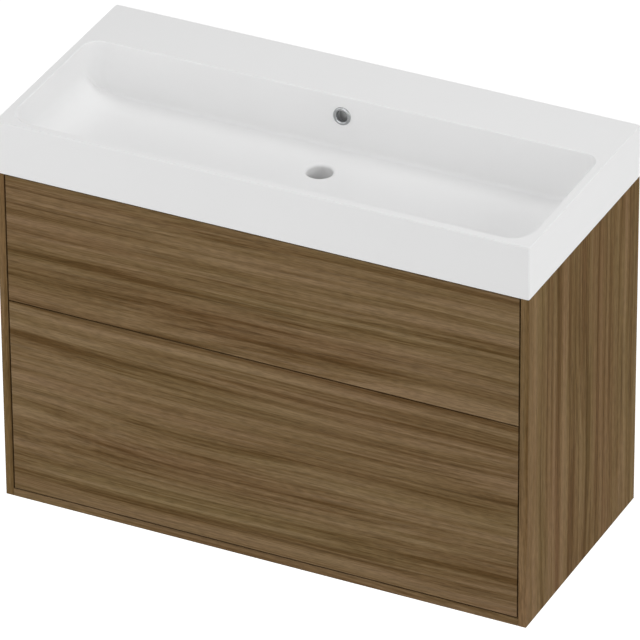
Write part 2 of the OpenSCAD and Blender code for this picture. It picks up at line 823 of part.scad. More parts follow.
basin();
overflow_ring();
left_side_panel();
right_side_panel();
bottom_panel();
top_back_rail();
bottom_back_rail();
front_rail();
cam_locks();
cam_bolts();
hanger_housings();
hanger_hooks();
hanger_screws();
wall_plates();
upper_fixed_runner_left();
upper_fixed_runner_right();
lower_fixed_runner_left();
lower_fixed_runner_right();
runner_screws();
upper_latch_housings();
lower_latch_housings();
upper_front();
upper_side_left();
upper_side_right();
upper_backs();
upper_bottom();
upper_cutout_walls();
upper_drawer_runner_left();
upper_drawer_runner_right();
upper_runner_clips();
upper_front_brackets();
lower_front();
lower_side_left();
lower_side_right();
lower_back();
lower_bottom();
lower_drawer_runner_left();
lower_drawer_runner_right();
lower_runner_clips();
lower_front_brackets();
upper_carriage_left();
upper_carriage_right();
lower_carriage_left();
lower_carriage_right();
upper_latch_plungers();
lower_latch_plungers();
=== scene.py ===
"""Looks of a wall-hung vanity unit, dressed round its solids. Lengths are in metres."""
import json
import math

import bmesh
import bpy
from mathutils import Matrix, Vector


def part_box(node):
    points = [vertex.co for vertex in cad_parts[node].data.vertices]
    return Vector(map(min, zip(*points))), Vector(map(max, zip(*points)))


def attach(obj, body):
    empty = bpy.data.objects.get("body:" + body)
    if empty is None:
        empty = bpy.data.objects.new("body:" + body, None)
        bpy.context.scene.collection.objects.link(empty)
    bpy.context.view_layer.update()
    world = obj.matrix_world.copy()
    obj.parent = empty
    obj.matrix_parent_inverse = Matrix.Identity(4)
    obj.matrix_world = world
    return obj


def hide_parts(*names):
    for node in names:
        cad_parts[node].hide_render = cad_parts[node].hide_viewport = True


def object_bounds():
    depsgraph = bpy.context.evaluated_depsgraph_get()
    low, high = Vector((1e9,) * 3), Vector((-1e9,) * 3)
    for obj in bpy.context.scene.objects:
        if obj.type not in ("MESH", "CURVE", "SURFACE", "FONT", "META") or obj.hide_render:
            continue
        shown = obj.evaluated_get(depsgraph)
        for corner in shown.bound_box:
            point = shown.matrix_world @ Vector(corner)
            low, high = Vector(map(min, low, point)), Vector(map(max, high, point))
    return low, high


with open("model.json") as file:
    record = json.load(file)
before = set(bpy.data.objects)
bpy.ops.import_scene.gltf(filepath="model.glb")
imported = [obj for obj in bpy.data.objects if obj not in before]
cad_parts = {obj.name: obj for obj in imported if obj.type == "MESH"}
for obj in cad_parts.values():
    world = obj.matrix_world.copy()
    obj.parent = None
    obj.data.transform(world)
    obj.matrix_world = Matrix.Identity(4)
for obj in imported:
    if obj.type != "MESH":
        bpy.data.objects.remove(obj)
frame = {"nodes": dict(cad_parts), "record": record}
cad_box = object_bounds()
scene = bpy.context.scene
nodes = frame["nodes"]
record = frame["record"]
body_of_node = {n: body for body, ns in record["behaviour"]["bodies"].items() for n in ns}
slot_of_node = {row["node"]: row["material_slot"] for row in record["subparts"]}
MM = 0.001


# Camera: a long lens from far away, to the right of the unit and above it
CAMERA_PLACE = (4.8720, -10.2022, 6.4659)
CAMERA_AZIMUTH = 26.0211
CAMERA_ELEVATION = 31.1574
CAMERA_ROLL = -0.4004
CAMERA_LENS = 422.71
CAMERA_SENSOR = 36


def turn(degrees, axis):
    """A rotation about one axis."""
    return Matrix.Rotation(math.radians(degrees), 4, axis)


def place_camera():
    """Puts the camera where the photograph was taken from."""
    camera = bpy.data.objects.new("camera", bpy.data.cameras.new("camera"))
    scene.collection.objects.link(camera)
    camera.data.lens = CAMERA_LENS
    camera.data.sensor_width = CAMERA_SENSOR
    heading = turn(CAMERA_AZIMUTH, "Z") @ turn(90 - CAMERA_ELEVATION, "X")
    camera.matrix_world = (
        Matrix.Translation(CAMERA_PLACE) @ heading @ turn(CAMERA_ROLL, "Z")
    )
    scene.camera = camera


place_camera()
scene.view_settings.view_transform = "Standard"


# Nodes
def linear(hex_colour):
    """An sRGB hex colour as the linear values that a shader takes."""
    channels = [int(hex_colour[i:i + 2], 16)/255 for i in (1, 3, 5)]
    bend = [c/12.92 if c <= 0.04045 else ((c + 0.055)/1.055)**2.4 for c in channels]
    return (*bend, 1)


def add(tree, kind, values=None, links=None, **settings):
    """Adds a node with its settings, its inputs' values and the sockets linked to them. Inputs go
    by name or, where names repeat, by number: a mix takes its share at 0, numbers at 2 and 3,
    vectors at 4 and 5, and colours at 6 and 7."""
    node = tree.nodes.new(kind)
    for name, value in settings.items():
        setattr(node, name, value)
    for name, value in (values or {}).items():
        node.inputs[name].default_value = value
    for name, socket in (links or {}).items():
        tree.links.new(socket, node.inputs[name])
    return node


def new_material(name):
    """An empty material and its node tree."""
    material = bpy.data.materials.new(name)
    material.use_nodes = True
    material.node_tree.nodes.clear()
    return material, material.node_tree


def finish_surface(tree, values, links):
    """Ends a material in one principled shader."""
    shader = add(tree, "ShaderNodeBsdfPrincipled", values, links)
    add(tree, "ShaderNodeOutputMaterial", links={"Surface": shader.outputs[0]})


def seen_directly(tree):
    """1 on rays from the camera, from a gloss or through glass, and 0 on the rest."""
    path = add(tree, "ShaderNodeLightPath")
    first = add(tree, "ShaderNodeMath", operation="MAXIMUM", links={
        0: path.outputs["Is Camera Ray"], 1: path.outputs["Is Glossy Ray"]})
    return add(tree, "ShaderNodeMath", operation="MAXIMUM", links={
        0: first.outputs[0], 1: path.outputs["Is Transmission Ray"]}).outputs[0]


# Studio: an even white room with large soft lamps round the unit, each in a heading from the
# front to the right and at a height, both in degrees
ROOM_LIGHT = 0.339
FLOOR_DROP = 0.60
FLOOR_GLOW = 0.60
FLOOR_HALF = 20
LAMP_AIM = Vector((0, -0.23, 0))
LAMPS = {
    "front_lamp": dict(heading=0, height=18, reach=3.6, size=2.4, power=28.5),
    "right_lamp": dict(heading=90, height=18, reach=3.6, size=2.4, power=40.2),
    "top_lamp": dict(heading=0, height=90, reach=3.2, size=3.0, power=12.2),
    "high_back_lamp": dict(heading=180, height=75, reach=3.6, size=2.4, power=25.2),
    "low_left_lamp": dict(heading=-45, height=6, reach=3.6, size=2.4, power=13.6),
    "left_lamp": dict(heading=-45, height=32, reach=3.6, size=2.4, power=6.3),
}


def light_room():
    """The white surroundings: a plain strength for light, and white where they are seen."""
    world = bpy.data.worlds.new("room")
    scene.world = world
    world.use_nodes = True
    tree = world.node_tree
    tree.nodes.clear()
    light = add(tree, "ShaderNodeBackground", {"Strength": ROOM_LIGHT})
    white = add(tree, "ShaderNodeBackground", {"Strength": 1.0})
    for node in (light, white):
        node.inputs["Color"].default_value = (1, 1, 1, 1)
    mixed = add(tree, "ShaderNodeMixShader", links={
        0: seen_directly(tree), 1: light.outputs[0], 2: white.outputs[0]})
    add(tree, "ShaderNodeOutputWorld", links={"Surface": mixed.outputs[0]})


def hang_lamps():
    """The soft lamps, each turned to the unit."""
    for name, lamp in LAMPS.items():
        data = bpy.data.lights.new(name, "AREA")
        data.shape = "DISK"
        data.size = lamp["size"]
        data.energy = lamp["power"]
        light = bpy.data.objects.new(name, data)
        scene.collection.objects.link(light)
        heading, height = math.radians(lamp["heading"]), math.radians(lamp["height"])
        away = Vector((math.sin(heading)*math.cos(height), -math.cos(heading)*math.cos(height),
                       math.sin(height)))
        facing = (-away).to_track_quat("-Z", "Y").to_matrix().to_4x4()
        light.matrix_world = Matrix.Translation(LAMP_AIM + lamp["reach"]*away) @ facing


def corner_points(x0, y0, x1, y1):
    """The corners of a rectangle in X and Y."""
    return [(x0, y0), (x1, y0), (x1, y1), (x0, y1)]


def lay_floor():
    """A plain white floor that still takes the unit's shadow."""
    material, tree = new_material("white_studio_floor")
    matt = add(tree, "ShaderNodeBsdfDiffuse", {"Color": linear("#F4F4F4")})
    glow_level = add(tree, "ShaderNodeMath", {1: FLOOR_GLOW}, {0: seen_directly(tree)},
                     operation="MULTIPLY")
    glow = add(tree, "ShaderNodeEmission", links={"Strength": glow_level.outputs[0]})
    both = add(tree, "ShaderNodeAddShader", links={0: matt.outputs[0], 1: glow.outputs[0]})
    add(tree, "ShaderNodeOutputMaterial", links={"Surface": both.outputs[0]})
    z = cad_box[0].z - FLOOR_DROP
    corners = [(x, y, z) for x, y in corner_points(-FLOOR_HALF, -FLOOR_HALF,
                                                   FLOOR_HALF, FLOOR_HALF)]
    mesh = bpy.data.meshes.new("floor")
    mesh.from_pydata(corners, [], [(0, 1, 2, 3)])
    mesh.materials.append(material)
    floor = bpy.data.objects.new("floor", mesh)
    scene.collection.objects.link(floor)


light_room()
hang_lamps()
lay_floor()


# Materials
def glazed_ceramic():
    """Fireclay with a white glaze. The glaze lies in a skin with a faint orange peel,
    and its sheen is a little uneven."""
    material, tree = new_material("glazed_ceramic")
    place = add(tree, "ShaderNodeTexCoord").outputs["Object"]
    peel_size, cloud_size = 9*MM, 140*MM
    peel = add(tree, "ShaderNodeTexNoise", {"Scale": 1/peel_size, "Detail": 2.0},
               {"Vector": place})
    cloud = add(tree, "ShaderNodeTexNoise", {"Scale": 1/cloud_size}, {"Vector": place})
    gloss = add(tree, "ShaderNodeMapRange", {"To Min": 0.28, "To Max": 0.36},
                {"Value": cloud.outputs["Fac"]})
    tint = add(tree, "ShaderNodeMix", {6: linear("#F4F4F4"), 7: linear("#F6F6F6")},
               {0: cloud.outputs["Fac"]}, data_type="RGBA")
    bump = add(tree, "ShaderNodeBump", {"Strength": 0.06, "Distance": 0.4*MM},
               {"Height": peel.outputs["Fac"]})
    finish_surface(tree, {"IOR": 1.52}, {
        "Base Color": tint.outputs[2], "Roughness": gloss.outputs[0], "Normal": bump.outputs[0]})
    return material


# Widths across the grain and lengths along it of the marks in the printed walnut. Real pores are
# about 0.3 mm wide, and are drawn coarser so that they show
BAND = (50*MM, 2500*MM)
STREAK = (13*MM, 1500*MM)
LINE = (3*MM, 350*MM)
VEIN = (5*MM, 700*MM)
PORE = (1.8*MM, 20*MM)
HUE = (70*MM, 700*MM)
WAVE = (200*MM, 1100*MM)
WAVE_SWING = 36*MM
# How the noises mix to the tone: streaks over bands, then lines over both
STREAK_SHARE = 0.48
LINE_SHARE = 0.20
# The colours along the tone, and the tints that lie over them in patches
TONES = ((0.40, "#654E33"), (0.50, "#806A4F"), (0.60, "#927C63"))
REDDISH_TO_OLIVE = ("#FFEEEC", "#F2F9DD")
# The side panels' tints are darker and more olive than the fronts': a painted shade of the unit's
# sides
REDDISH_TO_OLIVE_SHADED_SIDE = ("#FCE3D9", "#E9F1CB")


def grain_noise(tree, place, along, mark, shift, **values):
    """Noise drawn out along the grain, which runs along X, Y or Z (0, 1 or 2)."""
    width, length = mark
    scale = [1/length if axis == along else 1/width for axis in range(3)]
    stretched = add(tree, "ShaderNodeMapping", {"Scale": scale, "Location": shift},
                    {"Vector": place})
    return add(tree, "ShaderNodeTexNoise", {"Scale": 1.0, **values},
               {"Vector": stretched.outputs[0]}).outputs["Fac"]


def walnut_melamine(name, along, shift, tints=REDDISH_TO_OLIVE):
    """Chipboard faced with melamine paper: a walnut print in bands, fine lines and dark veins,
    under a matt resin skin with pressed pores."""
    material, tree = new_material(name)
    place = add(tree, "ShaderNodeTexCoord").outputs["Object"]
    sway = grain_noise(tree, place, along, WAVE, shift, Detail=1.0)
    swing = add(tree, "ShaderNodeMapRange", {"To Min": -WAVE_SWING, "To Max": WAVE_SWING},
                {"Value": sway})
    across = [0.0 if axis == along else 1.0 for axis in range(3)]
    drift = add(tree, "ShaderNodeVectorMath", {0: across}, {"Scale": swing.outputs[0]},
                operation="SCALE")
    swayed = add(tree, "ShaderNodeVectorMath", links={0: place, 1: drift.outputs[0]},
                 operation="ADD").outputs[0]
    band = grain_noise(tree, swayed, along, BAND, shift, Detail=3.0, Roughness=0.6)
    streak = grain_noise(tree, swayed, along, STREAK, shift, Detail=2.0, Roughness=0.55)
    line = grain_noise(tree, swayed, along, LINE, shift, Detail=1.0, Roughness=0.5)
    vein = grain_noise(tree, swayed, along, VEIN, Vector(shift) + Vector((8, 2, 4)), Detail=2.0)
    pore = grain_noise(tree, swayed, along, PORE, shift, Detail=1.0)
    broad = add(tree, "ShaderNodeMix", {0: STREAK_SHARE}, {2: band, 3: streak})
    tone = add(tree, "ShaderNodeMix", {0: LINE_SHARE}, {2: broad.outputs[0], 3: line})
    colours = add(tree, "ShaderNodeValToRGB", links={"Fac": tone.outputs[0]})
    stops = colours.color_ramp.elements
    while len(stops) < len(TONES):
        stops.new(1.0)
    for stop, (position, colour) in zip(stops, TONES):
        stop.position = position
        stop.color = linear(colour)
    # Reddish and olive patches lie over the bands; the side panels' darker tints also carry a
    # painted shade of the unit's sides
    hue = grain_noise(tree, swayed, along, HUE, Vector(shift) + Vector((3, 5, 7)),
                      Detail=3.0, Roughness=0.6)
    patch = add(tree, "ShaderNodeMix", {6: linear(tints[0]), 7: linear(tints[1])}, {0: hue},
                data_type="RGBA")
    warm = add(tree, "ShaderNodeMix", {0: 1.0}, {6: colours.outputs[0], 7: patch.outputs[2]},
               data_type="RGBA", blend_type="MULTIPLY")
    dark_vein = add(tree, "ShaderNodeMapRange",
                    {"From Min": 0.56, "From Max": 0.70, "To Min": 1.0, "To Max": 0.80},
                    {"Value": vein})
    dark_pore = add(tree, "ShaderNodeMapRange",
                    {"From Min": 0.32, "From Max": 0.64, "To Min": 0.82, "To Max": 1.10},
                    {"Value": pore})
    marks = add(tree, "ShaderNodeMath", operation="MULTIPLY", links={
        0: dark_vein.outputs[0], 1: dark_pore.outputs[0]})
    printed = add(tree, "ShaderNodeMix", {0: 1.0}, {6: warm.outputs[2], 7: marks.outputs[0]},
                  data_type="RGBA", blend_type="MULTIPLY")
    bump = add(tree, "ShaderNodeBump", {"Strength": 0.25, "Distance": 0.15*MM}, {"Height": pore})
    rough = add(tree, "ShaderNodeMapRange", {"To Min": 0.62, "To Max": 0.48}, {"Value": line})
    finish_surface(tree, {"IOR": 1.3, "Specular IOR Level": 0.03}, {
        "Base Color": printed.outputs[2], "Roughness": rough.outputs[0],
        "Normal": bump.outputs[0]})
    return material


def drawer_melamine():
    """Chipboard faced with plain light grey melamine. Its fine pressed texture breaks the light
    softly, and is drawn coarser than it is, so that it shows."""
    material, tree = new_material("drawer_melamine")
    place = add(tree, "ShaderNodeTexCoord").outputs["Object"]
    fleck_size = 1.2*MM
    fleck = add(tree, "ShaderNodeTexNoise", {"Scale": 1/fleck_size, "Detail": 2.0},
                {"Vector": place})
    tint = add(tree, "ShaderNodeMix", {6: linear("#C6C3BC"), 7: linear("#D2CFC9")},
               {0: fleck.outputs["Fac"]}, data_type="RGBA")
    bump = add(tree, "ShaderNodeBump", {"Strength": 0.2, "Distance": 0.1*MM},
               {"Height": fleck.outputs["Fac"]})
    finish_surface(tree, {"Roughness": 0.55, "IOR": 1.5}, {
        "Base Color": tint.outputs[2], "Normal": bump.outputs[0]})
    return material


def chrome():
    """Brass plated with chromium: a mirror that a soft haze dulls."""
    material, tree = new_material("polished_chrome")
    place = add(tree, "ShaderNodeTexCoord").outputs["Object"]
    haze_size = 6*MM
    haze = add(tree, "ShaderNodeTexNoise", {"Scale": 1/haze_size}, {"Vector": place})
    rough = add(tree, "ShaderNodeMapRange", {"To Min": 0.16, "To Max": 0.26},
                {"Value": haze.outputs["Fac"]})
    finish_surface(tree, {"Base Color": linear("#A9ABAC"), "Metallic": 1.0},
                   {"Roughness": rough.outputs[0]})
    return material


def zinc_plate(name, light, dark, spangle_size):
    """Steel with a zinc coat: a dull grey metal whose crystals show as soft patches."""
    material, tree = new_material(name)
    place = add(tree, "ShaderNodeTexCoord").outputs["Object"]
    spangle = add(tree, "ShaderNodeTexVoronoi", {"Scale": 1/spangle_size}, {"Vector": place})
    tint = add(tree, "ShaderNodeMix", {6: linear(light), 7: linear(dark)},
               {0: spangle.outputs["Distance"]}, data_type="RGBA")
    rough = add(tree, "ShaderNodeMapRange", {"To Min": 0.30, "To Max": 0.46},
                {"Value": spangle.outputs["Distance"]})
    finish_surface(tree, {"Metallic": 1.0}, {
        "Base Color": tint.outputs[2], "Roughness": rough.outputs[0]})
    return material


def moulded_plastic(name, colour, shade):
    """Injection-moulded plastic. The spark-eroded texture of its mould gives it a soft sheen, and
    is drawn coarser than it is, so that it shows."""
    material, tree = new_material(name)
    place = add(tree, "ShaderNodeTexCoord").outputs["Object"]
    grit_size = 0.9*MM
    grit = add(tree, "ShaderNodeTexNoise", {"Scale": 1/grit_size, "Detail": 3.0},
               {"Vector": place})
    tint = add(tree, "ShaderNodeMix", {6: linear(colour), 7: linear(shade)},
               {0: grit.outputs["Fac"]}, data_type="RGBA")
    bump = add(tree, "ShaderNodeBump", {"Strength": 0.15, "Distance": 0.08*MM},
               {"Height": grit.outputs["Fac"]})
    finish_surface(tree, {"Roughness": 0.42, "IOR": 1.49}, {
        "Base Color": tint.outputs[2], "Normal": bump.outputs[0]})
    return material


ceramic = glazed_ceramic()
# The side panels' walnut runs upright and takes the darker tints, a painted shade of the sides
walnut_upright_shaded = walnut_melamine("walnut_melamine_upright_shaded", 2, (0.0, 0.0, 0.0),
                                 REDDISH_TO_OLIVE_SHADED_SIDE)
walnut_level = walnut_melamine("walnut_melamine_level", 0, (5.0, 2.0, 9.0))
walnut_upper = walnut_melamine("walnut_melamine_upper_front", 0, (1.0, 4.0, 2.0))
walnut_lower = walnut_melamine("walnut_melamine_lower_front", 0, (7.0, 1.0, 6.0))
lining = drawer_melamine()
bright_chrome = chrome()
galvanised = zinc_plate("galvanised_steel", "#B4B7B9", "#9DA1A4", 7*MM)
zinc = zinc_plate("zinc_plated_steel", "#B9B9B6", "#A3A4A2", 3*MM)
grey_plastic = moulded_plastic("grey_acetal", "#85888B", "#7C7F82")
pale_plastic = moulded_plastic("pale_acetal", "#DCDCD8", "#D2D2CE")

SLOT_MATERIALS = {
    "glazed_ceramic": ceramic,
    "walnut_melamine": walnut_level,
    "drawer_melamine": lining,
    "chrome": bright_chrome,
    "galvanised_steel": galvanised,
    "zinc_fitting": zinc,
    "grey_plastic": grey_plastic,
    "pale_plastic": pale_plastic,
}
NODE_MATERIALS = {
    "left_side_panel": walnut_upright_shaded,
    "right_side_panel": walnut_upright_shaded,
    "upper_front": walnut_upper,
    "lower_front": walnut_lower,
}


def material_of(node):
    """The finish of a node."""
    return NODE_MATERIALS.get(node, SLOT_MATERIALS[slot_of_node[node]])


# Meshes
WELD = 0.01*MM
FLAT_ANGLE = math.radians(1)
CREASE_ANGLE = math.radians(32)


def paint(piece, material):
    """Gives a piece one material."""
    piece.data.materials.clear()
    piece.data.materials.append(material)


def link_piece(name, shell, material):
    """Turns a shell, which is used up, into an object in the scene with one material."""
    mesh = bpy.data.meshes.new(name)
    shell.to_mesh(mesh)
    shell.free()
    piece = bpy.data.objects.new(name, mesh)
    scene.collection.objects.link(piece)
    paint(piece, material)
    return piece


def merged_shell(mesh):
    """A shell of a mesh, with the corners of its loose triangles merged."""
    shell = bmesh.new()
    shell.from_mesh(mesh)
    bmesh.ops.remove_doubles(shell, verts=shell.verts, dist=WELD)
    return shell


def shade_with_creases(piece):
    """Smooth shading between creases, with flat faces kept flat."""
    piece.data.shade_smooth()
    piece.data.set_sharp_from_angle(angle=CREASE_ANGLE)
    keep = piece.modifiers.new("flat_faces", "WEIGHTED_NORMAL")
    keep.keep_sharp = True
    bake_modifiers(piece)


def bake_modifiers(piece):
    """Turns what a piece's modifiers make into its plain mesh."""
    bpy.context.view_layer.update()
    evaluated = piece.evaluated_get(bpy.context.evaluated_depsgraph_get())
    mesh = bpy.data.meshes.new_from_object(evaluated)
    piece.modifiers.clear()
    piece.data = mesh


def dress(piece, body, slot, *stood_for):
    """Hangs a finished piece on its body and hides the nodes that it stands for."""
    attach(piece, body)
    if stood_for:
        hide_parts(*stood_for)


# Node trees
def new_tree(name, inputs):
    """A geometry tree with a geometry input, the named inputs and a geometry output."""
    tree = bpy.data.node_groups.new(name, "GeometryNodeTree")
    tree.interface.new_socket("Geometry", in_out="INPUT", socket_type="NodeSocketGeometry")
    for label, kind in inputs.items():
        tree.interface.new_socket(label, in_out="INPUT", socket_type=kind)
    tree.interface.new_socket("Geometry", in_out="OUTPUT", socket_type="NodeSocketGeometry")
    return tree, tree.nodes.new("NodeGroupInput").outputs


def end_tree(tree, geometry, material):
    """Ends a tree in real geometry with its material."""
    real = add(tree, "GeometryNodeRealizeInstances", links={0: geometry})
    painted = add(tree, "GeometryNodeSetMaterial", links={
        "Geometry": real.outputs[0], "Material": material})
    add(tree, "NodeGroupOutput", links={0: painted.outputs[0]})


def grow(piece, tree, values):
    """Runs a tree on a piece and keeps the plain mesh that it makes."""
    modifier = piece.modifiers.new(tree.name, "NODES")
    modifier.node_group = tree
    for item in tree.interface.items_tree:
        if item.in_out == "INPUT" and item.name in values:
            modifier[item.identifier] = values[item.name]
    bake_modifiers(piece)


# Basin: one loft of rings from the apron's foot over the rim, down the bowl and back up below it
basin_low, basin_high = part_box("basin")
HALF_W = basin_high.x
FRONT_Y = basin_low.y
RIM_Z = basin_high.z
APRON_H = RIM_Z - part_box("left_side_panel")[1].z
RIM = 12.5*MM
LEDGE = 125*MM
BOWL_DEPTH = 98*MM
BOWL_FALL = 1*MM
BOWL_DRAFT = 0.08
EDGE_R = 3*MM
# The bowl's wall stands where the CAD's edge of that radius ends; the photograph's edge is finer
FINE_EDGE = 1.5*MM
# Corners and coves come from the photograph once more: the CAD's back foot corner has 18 mm, its
# end coves are 40 mm high and its back cove has 20 mm
FRONT_CORNER = 46*MM
BACK_CORNER = 31*MM
FRONT_FOOT_CORNER = 30*MM
BACK_FOOT_CORNER = 36*MM
COVE = 56*MM
END_COVE_RUN = 72*MM
FRONT_COVE_RUN = 40*MM
BACK_COVE = 9*MM
CLAY = 11*MM
OUTER_CORNER = 3*MM
ARRIS = 1*MM
DRAIN_R = 23*MM
DRAIN_Y = -220*MM
LIP_R = 5.5*MM
BOSS_R = 38*MM
BOSS_FLAT = 1*MM
BORE_L = 38*MM
BOWL_LOW = BOWL_DEPTH + BOWL_FALL
BORE_TOP = BOWL_LOW + LIP_R
BORE_LOW = BORE_TOP + BORE_L
CORNER_STEPS = 12
SIDE_STEPS = 48
ARRIS_STEPS = 4
EDGE_STEPS = 6
COVE_STEPS = 16
LIP_STEPS = 8
# Shares of the way at which rings lie: down the wall and out from the boss, over the floor, and
# up the underside of the coves
WALL_SHARES = (0.25, 0.5, 0.75)
FLOOR_SHARES = (0.12, 0.25, 0.4, 0.55, 0.7, 0.82, 0.92)
UNDERSIDE_SHARES = (0, 0.2, 0.4, 0.6, 0.8, 1)
# Share of a side that is spread evenly; the rest crowds to its middle, beside the drain
EVEN_SHARE = 0.35


def blend(a, b, share):
    """A value between two others."""
    return a + (b - a)*share


def quarter(steps):
    """Angles of a quarter turn, both ends included."""
    return [math.pi/2*i/steps for i in range(steps + 1)]


def outer_ring(inset, deep):
    """A ring round the basin's outside."""
    return {"reach": (HALF_W - inset, FRONT_Y + inset, -inset),
            "corners": (OUTER_CORNER, OUTER_CORNER, 0), "deep": (deep, deep, 0)}


def bowl_ring(insets, depths, tight=(0, 0), gap=0.0, radius=0.0, roundness=0.0):
    """A ring of the bowl, from its insets at the ends, front and back, its depths at the sides
    and back, and how far its front and back corners have tightened. Roundness 1 turns it into
    a circle of that radius on the drain."""
    end_in, front_in, back_in = insets
    return {"reach": (HALF_W - RIM - end_in, FRONT_Y + RIM + front_in, -LEDGE - back_in),
            "corners": (blend(FRONT_CORNER, FRONT_FOOT_CORNER, tight[0]) + gap,
                        blend(BACK_CORNER, BACK_FOOT_CORNER, tight[1]) + gap, radius),
            "deep": (*depths, roundness)}


def wall_inset(deep):
    """How far the bowl's wall has come in at a depth."""
    return EDGE_R + BOWL_DRAFT*(deep - EDGE_R)


def cove_point(height, run, angle, gap):
    """Inset and depth at an angle of a cove, a gap outside the bowl's surface."""
    inset = wall_inset(BOWL_DEPTH - height) + run - (run + gap)*math.cos(angle)
    return inset, BOWL_DEPTH - height + (height + gap)*math.sin(angle)


def cove_ring(side_angle, back_angle, gap, deeper=0.0, radius=0.0, roundness=0.0):
    """A ring of the bowl's coves, or of the underside below them."""
    end_in, side_deep = cove_point(COVE, END_COVE_RUN, side_angle, gap)
    front_in, _ = cove_point(COVE, FRONT_COVE_RUN, side_angle, gap)
    back_in, back_deep = cove_point(BACK_COVE, BACK_COVE, back_angle, gap)
    tight = (1 - math.cos(side_angle), 1 - math.cos(back_angle))
    return bowl_ring((end_in, front_in, back_in), (side_deep + deeper, back_deep + deeper),
                     tight, gap, radius, roundness)


def basin_rings():
    """The rings of the whole basin, in order."""
    down = math.pi/2
    rings = []
    # Outside: the apron's foot, its face and the rim's outer edge
    for a in quarter(ARRIS_STEPS):
        rings.append(outer_ring(ARRIS*(1 - math.sin(a)), APRON_H - ARRIS*(1 - math.cos(a))))
    for a in quarter(EDGE_STEPS):
        rings.append(outer_ring(ARRIS*(1 - math.cos(a)), ARRIS*(1 - math.sin(a))))
    # Bowl: its edge, its wall and its coves
    for a in quarter(EDGE_STEPS):
        inset = wall_inset(FINE_EDGE) - FINE_EDGE*(1 - math.sin(a))
        deep = FINE_EDGE*(1 - math.cos(a))
        rings.append(bowl_ring((inset, inset, inset), (deep, deep)))
    for share in WALL_SHARES:
        side_deep = blend(FINE_EDGE, BOWL_DEPTH - COVE, share)
        back_deep = blend(FINE_EDGE, BOWL_DEPTH - BACK_COVE, share)
        side_in, back_in = wall_inset(side_deep), wall_inset(back_deep)
        rings.append(bowl_ring((side_in, side_in, back_in), (side_deep, back_deep)))
    for a in quarter(COVE_STEPS):
        rings.append(cove_ring(a, a, 0))
    # The floor falls to the drain and turns over its lip
    for share in FLOOR_SHARES:
        fall = BOWL_FALL*share*share*(3 - 2*share)
        rings.append(cove_ring(down, down, 0, fall, DRAIN_R + LIP_R, share))
    for a in quarter(LIP_STEPS):
        rings.append(cove_ring(down, down, 0, BOWL_FALL + LIP_R*(1 - math.cos(a)),
                               DRAIN_R + LIP_R*(1 - math.sin(a)), 1))
    # Bore, boss and underside
    for radius, deep in (
            (DRAIN_R, BORE_LOW - ARRIS/2), (DRAIN_R + ARRIS/2, BORE_LOW),
            (BOSS_R - ARRIS/2, BORE_LOW), (BOSS_R, BORE_LOW - ARRIS/2),
            (BOSS_R, BOWL_LOW + CLAY), (BOSS_R + BOSS_FLAT, BOWL_LOW + CLAY)):
        rings.append(cove_ring(down, down, 0, deep - BOWL_DEPTH, radius, 1))
    for share in reversed(WALL_SHARES):
        rings.append(cove_ring(down, down, CLAY, BOWL_FALL*share, BOSS_R + BOSS_FLAT, share))
    side_end = math.asin((APRON_H - BOWL_DEPTH + COVE)/(COVE + CLAY))
    back_end = math.asin((APRON_H - BOWL_DEPTH + BACK_COVE)/(BACK_COVE + CLAY))
    for share in UNDERSIDE_SHARES:
        rings.append(cove_ring(blend(down, side_end, share), blend(down, back_end, share), CLAY))
    rings.append(rings[0])
    return rings


def compass_points():
    """Where each point of a ring lies: its corner, from -1 to 1 each way, and its heading."""
    signs = [(1, 1), (-1, 1), (-1, -1), (1, -1)]
    points = []
    for q in range(4):
        here, there = Vector(signs[q]), Vector(signs[(q + 1) % 4])
        for a in quarter(CORNER_STEPS):
            heading = a + q*math.pi/2
            points.append(((*here, 0), (math.cos(heading), math.sin(heading), 0)))
        heading = (q + 1)*math.pi/2
        for i in range(1, SIDE_STEPS):
            s = 1 - 2*i/SIDE_STEPS
            share = (1 - s*(EVEN_SHARE + (1 - EVEN_SHARE)*s*s))/2
            corner = here.lerp(there, share)
            points.append(((*corner, 0), (math.cos(heading), math.sin(heading), 0)))
    return points


def point_cloud(name, columns):
    """An object whose loose points carry vectors under names."""
    count = len(next(iter(columns.values())))
    mesh = bpy.data.meshes.new(name)
    mesh.from_pydata([(0, 0, 0)]*count, [], [])
    for label, vectors in columns.items():
        layer = mesh.attributes.new(label, "FLOAT_VECTOR", "POINT")
        layer.data.foreach_set("vector", [value for vector in vectors for value in vector])
    cloud = bpy.data.objects.new(name, mesh)
    scene.collection.objects.link(cloud)
    return cloud


def sampled(tree, geometry, label, index):
    """The vector that a point of a cloud carries under a name."""
    carried = add(tree, "GeometryNodeInputNamedAttribute", {"Name": label},
                  data_type="FLOAT_VECTOR")
    sample = add(tree, "GeometryNodeSampleIndex", data_type="FLOAT_VECTOR", links={
        "Geometry": geometry, "Value": carried.outputs[0], "Index": index})
    return add(tree, "ShaderNodeSeparateXYZ", links={0: sample.outputs[0]}).outputs


